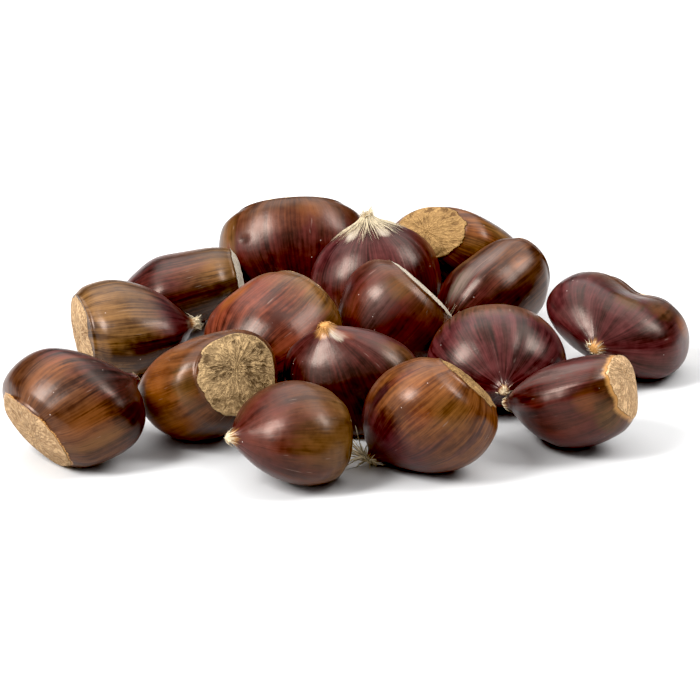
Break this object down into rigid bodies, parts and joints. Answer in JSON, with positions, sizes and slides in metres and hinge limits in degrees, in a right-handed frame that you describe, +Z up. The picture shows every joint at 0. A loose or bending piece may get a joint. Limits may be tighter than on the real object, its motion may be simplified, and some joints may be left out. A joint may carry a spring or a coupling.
{
  "type": "heap of whole chestnuts",
  "caption": "Loose heap of whole glossy sweet chestnuts lying in one layer, each with a pale round scar at its base and a pointed, tufted tip.",
  "frame": {"origin": "on the ground, under the middle of the heap's footprint", "axes": "+X to the right and +Y away from the picture's viewpoint, +Z up from the ground"},
  "size_m": [0.175, 0.15, 0.0327],
  "materials": {
    "shell_maroon": "glossy dark maroon nut shell with fine streaks",
    "shell_brown": "glossy brown nut shell with fine streaks",
    "shell_russet": "glossy russet nut shell with fine streaks",
    "shell_olive": "glossy olive-brown nut shell with fine streaks",
    "shell_amber": "glossy amber-brown nut shell with fine streaks"
  },
  "bodies": {
    "root": {"chestnut_01": "shell_brown", "chestnut_02": "shell_olive", "chestnut_03": "shell_olive", "chestnut_04": "shell_amber", "chestnut_05": "shell_russet", "chestnut_06": "shell_maroon", "chestnut_07": "shell_maroon", "chestnut_08": "shell_brown", "chestnut_09": "shell_maroon", "chestnut_10": "shell_brown", "chestnut_11": "shell_amber", "chestnut_12": "shell_maroon", "chestnut_13": "shell_russet", "chestnut_14": "shell_maroon", "chestnut_15": "shell_brown", "chestnut_16": "shell_amber"}
  },
  "joints": []
}
